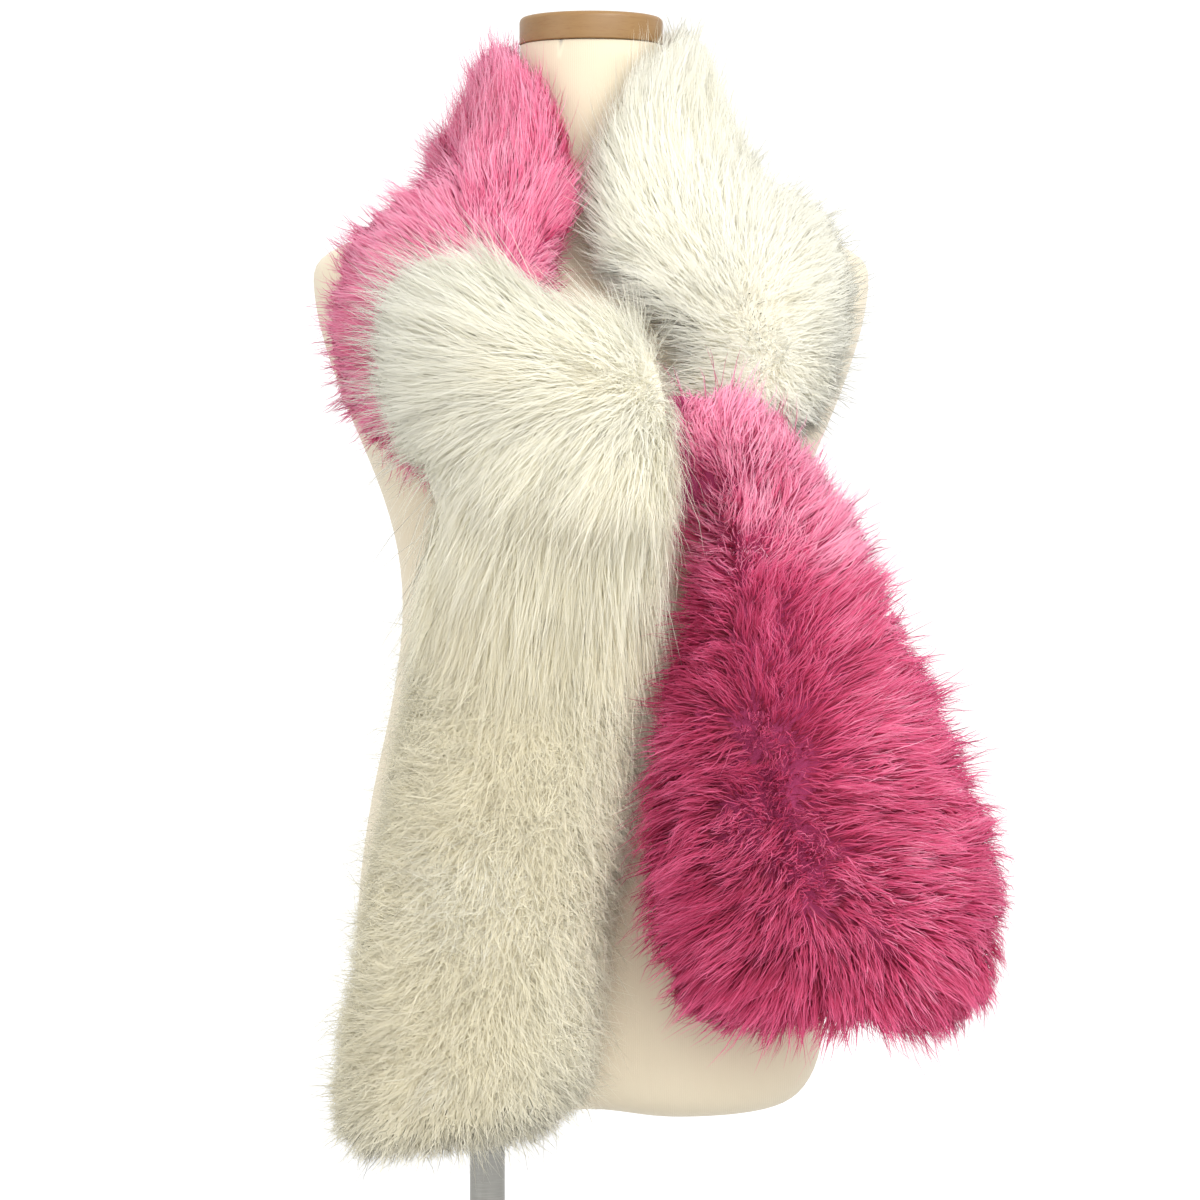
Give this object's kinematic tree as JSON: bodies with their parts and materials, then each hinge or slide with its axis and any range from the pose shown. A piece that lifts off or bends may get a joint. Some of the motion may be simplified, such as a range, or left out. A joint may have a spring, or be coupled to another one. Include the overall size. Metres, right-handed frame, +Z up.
{
  "type": "faux fur scarf on a dress form",
  "caption": "Long-pile two-colour scarf wound round the neck of a counter-top dress form and knotted on the chest, with both ends hanging down the front.",
  "frame": {"origin": "middle of the base plate's underside, on the surface that the stand rests on", "axes": "+Z up; the form faces -Y; +X is to the right for someone looking at its front"},
  "size_m": [0.4641, 0.3867, 1.0063],
  "materials": {
    "form_cover": "matt stretch jersey",
    "cap_wood": "satin varnish",
    "stand_metal": "satin",
    "pink_fur": "long glossy pile",
    "white_fur": "long soft pile"
  },
  "bodies": {
    "root": {"dress_form": "form_cover", "neck_cap": "cap_wood", "pole": "stand_metal", "pole_socket": "stand_metal", "base_plate": "stand_metal", "pink_neck_stretch": "pink_fur", "pink_tail": "pink_fur", "white_neck_stretch": "white_fur", "white_knot_flap": "white_fur", "white_tail": "white_fur"}
  },
  "joints": []
}
